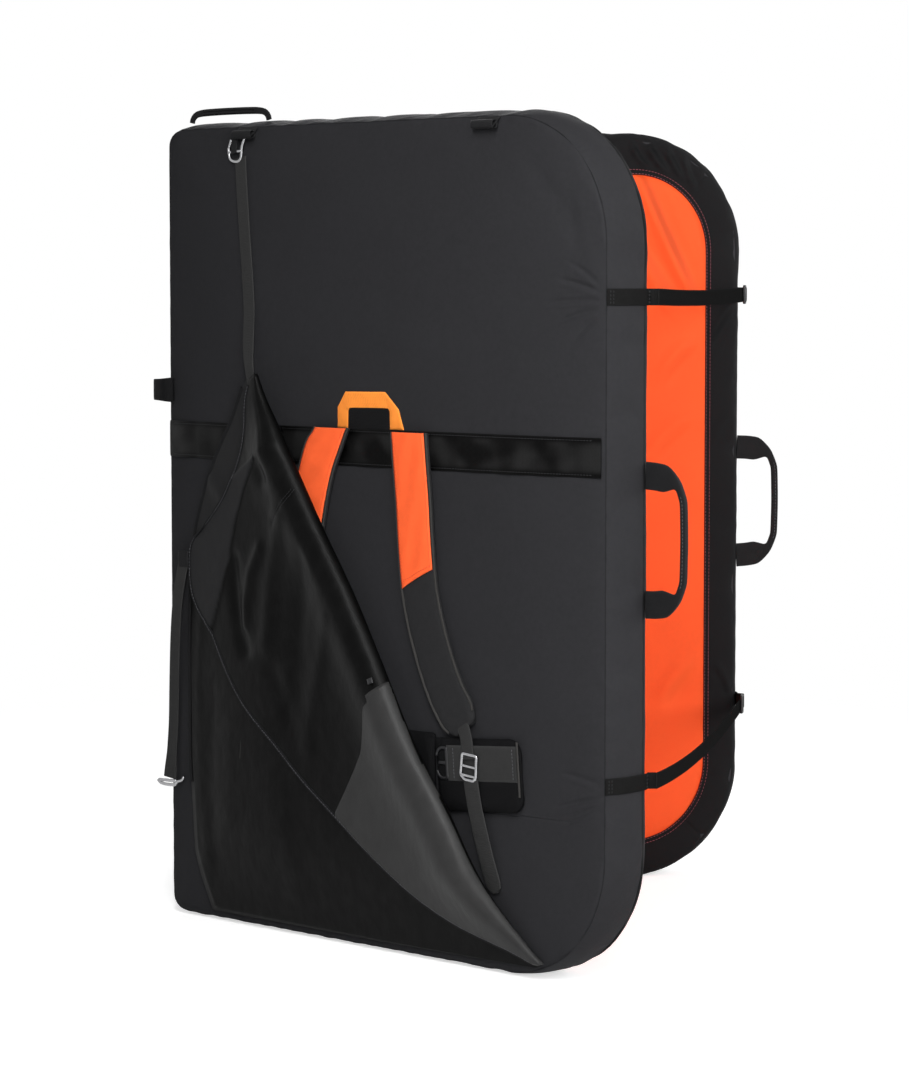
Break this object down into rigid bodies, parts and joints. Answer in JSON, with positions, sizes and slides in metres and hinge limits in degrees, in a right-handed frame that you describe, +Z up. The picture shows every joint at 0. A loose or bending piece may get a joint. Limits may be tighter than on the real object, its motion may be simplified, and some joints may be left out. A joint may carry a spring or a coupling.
{
  "type": "bouldering crash pad",
  "caption": "Folding foam bouldering mat standing half open, with shoulder straps, hip belt, carrying handles, closure straps and a hooked cover flap.",
  "frame": {"origin": "on the floor, under the middle of the front half's lower wall", "axes": "+Z up along the halves' height, -Y the way the harness face of the front half looks, -X towards the spine that the halves fold about"},
  "size_m": [0.9483, 0.9108, 1.1352],
  "materials": {
    "cover_black": "coated heavy-duty fabric, dull sheen",
    "border_black": "heavy woven fabric, matte",
    "panel_orange": "smooth coated fabric, matte",
    "strap_orange": "woven fabric, matte",
    "loop_orange": "webbing, soft sheen",
    "web_black": "woven webbing, soft sheen",
    "pad_grey": "padded fabric, matte",
    "flap_coated": "coated sheet, satin",
    "flap_matte": "coated sheet, matte",
    "metal": "satin steel",
    "plastic_black": "moulded, satin",
    "foam_soft": "open-cell foam, hidden inside the cover",
    "foam_firm": "closed-cell foam, hidden inside the cover"
  },
  "bodies": {
    "front_half": {"front_cover": "cover_black", "front_foam_base": "foam_firm", "front_foam_core": "foam_soft", "front_foam_landing": "foam_firm", "front_landing_border": "border_black", "front_landing_panel": "panel_orange", "front_hinge_leaf": "border_black", "front_zip_tape": "web_black", "load_band": "web_black", "hip_belt_middle": "pad_grey", "top_left_loop": "web_black", "top_right_loop": "web_black", "upper_strap_root": "web_black", "lower_strap_root": "web_black"},
    "rear_half": {"rear_cover": "cover_black", "rear_foam_base": "foam_firm", "rear_foam_core": "foam_soft", "rear_foam_landing": "foam_firm", "rear_landing_border": "border_black", "rear_landing_panel": "panel_orange", "rear_hinge_leaf": "border_black", "rear_zip_tape": "web_black", "upper_strap_anchor": "web_black", "lower_strap_anchor": "web_black"},
    "front_handle": {"front_side_handle": "web_black"},
    "rear_handle": {"rear_side_handle": "web_black"},
    "top_grip": {"top_handle": "web_black"},
    "edge_loop": {"spine_loop": "web_black"},
    "haul": {"haul_loop": "loop_orange"},
    "right_strap": {"right_strap_pad": "pad_grey", "right_strap_sleeve": "strap_orange", "right_strap_web": "web_black", "right_strap_buckle": "metal", "right_strap_tail": "web_black"},
    "left_strap": {"left_strap_pad": "pad_grey", "left_strap_sleeve": "strap_orange", "left_strap_web": "web_black", "left_strap_buckle": "metal", "left_strap_tail": "web_black"},
    "right_wing": {"right_hip_wing": "pad_grey", "right_hip_web": "web_black", "right_hip_buckle": "plastic_black"},
    "left_wing": {"left_hip_wing": "pad_grey", "left_hip_web": "web_black", "left_hip_buckle": "plastic_black"},
    "flap": {"flap_sheet": "flap_coated", "flap_panel": "flap_matte", "flap_top_strap": "web_black", "flap_top_hook": "metal", "flap_corner_tab": "web_black"},
    "corner_strap": {"flap_corner_strap": "web_black", "flap_corner_hook": "metal"},
    "upper_lead": {"upper_strap_lead": "web_black"},
    "upper_run": {"upper_strap_run": "web_black", "upper_strap_slider": "plastic_black"},
    "lower_lead": {"lower_strap_lead": "web_black"},
    "lower_run": {"lower_strap_run": "web_black", "lower_strap_slider": "plastic_black"},
    "front_zip": {"front_zip_slider": "metal"},
    "rear_zip": {"rear_zip_slider": "metal"}
  },
  "joints": [
    {"name": "fold", "type": "hinge", "parent": "front_half", "child": "rear_half", "pos_m": [-0.405, 0.0483, 0], "axis": [0, 0, 1], "range_deg": [-61, 119], "deforming": ["upper_strap_lead", "upper_strap_run", "upper_strap_slider", "lower_strap_lead", "lower_strap_run", "lower_strap_slider"]},
    {"name": "upper_lead_turn", "type": "hinge", "parent": "front_half", "child": "upper_lead", "pos_m": [0.412, 0.0483, 0.8694], "axis": [0, 0, 1], "range_deg": [-30.5, 59.5]},
    {"name": "upper_run_turn", "type": "hinge", "parent": "upper_lead", "child": "upper_run", "pos_m": [0.35617, 0.14308, 0.8694], "axis": [0, 0, 1], "range_deg": [-176, 90]},
    {"name": "lower_lead_turn", "type": "hinge", "parent": "front_half", "child": "lower_lead", "pos_m": [0.412, 0.0483, 0.26005], "axis": [0, 0, 1], "range_deg": [-30.5, 59.5]},
    {"name": "lower_run_turn", "type": "hinge", "parent": "lower_lead", "child": "lower_run", "pos_m": [0.35617, 0.14308, 0.26005], "axis": [0, 0, 1], "range_deg": [-176, 90]},
    {"name": "front_handle_swing", "type": "hinge", "parent": "front_half", "child": "front_handle", "pos_m": [0.4045, 0.033, 0.55105], "axis": [0, 0, 1], "range_deg": [-60, 12]},
    {"name": "rear_handle_swing", "type": "hinge", "parent": "rear_half", "child": "rear_handle", "pos_m": [-0.02593, 0.76372, 0.55105], "axis": [0, 0, 1], "range_deg": [-12, 60]},
    {"name": "top_handle_swing", "type": "hinge", "parent": "front_half", "child": "top_grip", "pos_m": [-0.2868, -0.012, 1.10825], "axis": [1, 0, 0], "range_deg": [-60, 60]},
    {"name": "edge_loop_swing", "type": "hinge", "parent": "front_half", "child": "edge_loop", "pos_m": [-0.3825, -0.045, 0.73812], "axis": [0, 0, 1], "range_deg": [0, 80]},
    {"name": "haul_loop_swing", "type": "hinge", "parent": "front_half", "child": "haul", "pos_m": [0.0058, -0.0539, 0.6956], "axis": [1, 0, 0], "range_deg": [0, 75]},
    {"name": "right_strap_swing", "type": "hinge", "parent": "front_half", "child": "right_strap", "pos_m": [0.0792, -0.0597, 0.69023], "axis": [-1, 0, 0], "range_deg": [0, 70]},
    {"name": "right_wing_swing", "type": "hinge", "parent": "front_half", "child": "right_wing", "pos_m": [0.1292, -0.0626, 0.253], "axis": [0, 0, -1], "range_deg": [0, 27]},
    {"name": "flap_swing", "type": "hinge", "parent": "front_half", "child": "flap", "pos_m": [0, -0.0435, 0.01171], "axis": [1, 0, 0], "range_deg": [0, 70]},
    {"name": "left_strap_swing", "type": "hinge", "parent": "front_half", "child": "left_strap", "pos_m": [-0.0616, -0.0597, 0.70296], "axis": [-1, 0, 0], "range_deg": [0, 10.5]},
    {"name": "left_wing_swing", "type": "hinge", "parent": "front_half", "child": "left_wing", "pos_m": [-0.0844, -0.0626, 0.253], "axis": [0, 0, 1], "range_deg": [0, 21]},
    {"name": "corner_strap_swing", "type": "hinge", "parent": "flap", "child": "corner_strap", "pos_m": [-0.3512, -0.0612, 0.49197], "axis": [-1, 0, 0], "range_deg": [0, 60]},
    {"name": "front_zip_slide", "type": "slide", "parent": "front_half", "child": "front_zip", "axis": [0, 0, 1], "range_m": [-0.88, 0.03]},
    {"name": "rear_zip_slide", "type": "slide", "parent": "rear_half", "child": "rear_zip", "axis": [0, 0, 1], "range_m": [-0.88, 0.03]}
  ],
  "couplings": [
    {"joint": "upper_lead_turn", "follows": "fold", "ratio": 0.5},
    {"joint": "lower_lead_turn", "follows": "fold", "ratio": 0.5},
    {"joint": "upper_run_turn", "follows": "fold", "ratio": -1.4754},
    {"joint": "lower_run_turn", "follows": "fold", "ratio": -1.4754},
    {"joint": "right_wing_swing", "follows": "right_strap_swing", "ratio": 0.38},
    {"joint": "left_strap_swing", "follows": "flap_swing", "ratio": 0.15},
    {"joint": "left_wing_swing", "follows": "flap_swing", "ratio": 0.3}
  ]
}
